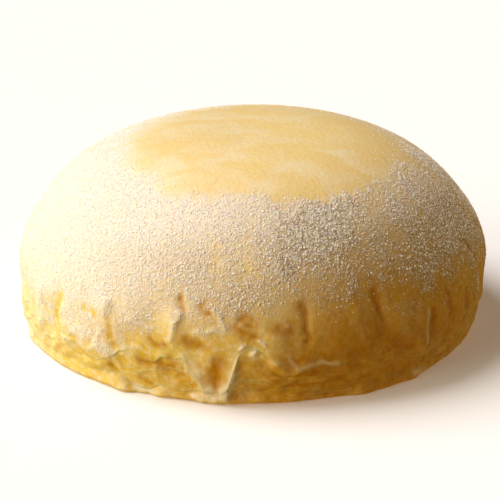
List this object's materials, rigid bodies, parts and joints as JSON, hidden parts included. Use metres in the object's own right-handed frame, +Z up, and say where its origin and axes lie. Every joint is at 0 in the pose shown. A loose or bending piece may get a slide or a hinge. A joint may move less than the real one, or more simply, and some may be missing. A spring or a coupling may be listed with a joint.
{
  "type": "mille crepe cake",
  "caption": "Whole domed mille crepe cake, uncut, with a smooth flat-topped dome, draped crepes pleated down the sides and ragged crepe hems round its flat base.",
  "frame": {"origin": "middle of the flat bottom of the cake, on the surface that it stands on", "axes": "+Z up through the dome, -Y towards the viewer of the front, +X to that viewer's right"},
  "size_m": [0.1799, 0.1817, 0.075],
  "materials": {
    "crepe_sugared": "thin soft crepe, pale yellow, bare and slightly moist on the top, dusted with powdered sugar on the shoulder and the upper side",
    "crepe_moist": "thin moist crepe, golden to amber, with a soft sheen and pale thin edges",
    "crepe_foot": "stacked moist crepe edges with cream between them, deep golden, slightly glossy"
  },
  "bodies": {
    "root": {"crepe_cover": "crepe_sugared", "crepe_second": "crepe_moist", "crepe_third": "crepe_moist", "crepe_stack": "crepe_foot"}
  },
  "joints": []
}
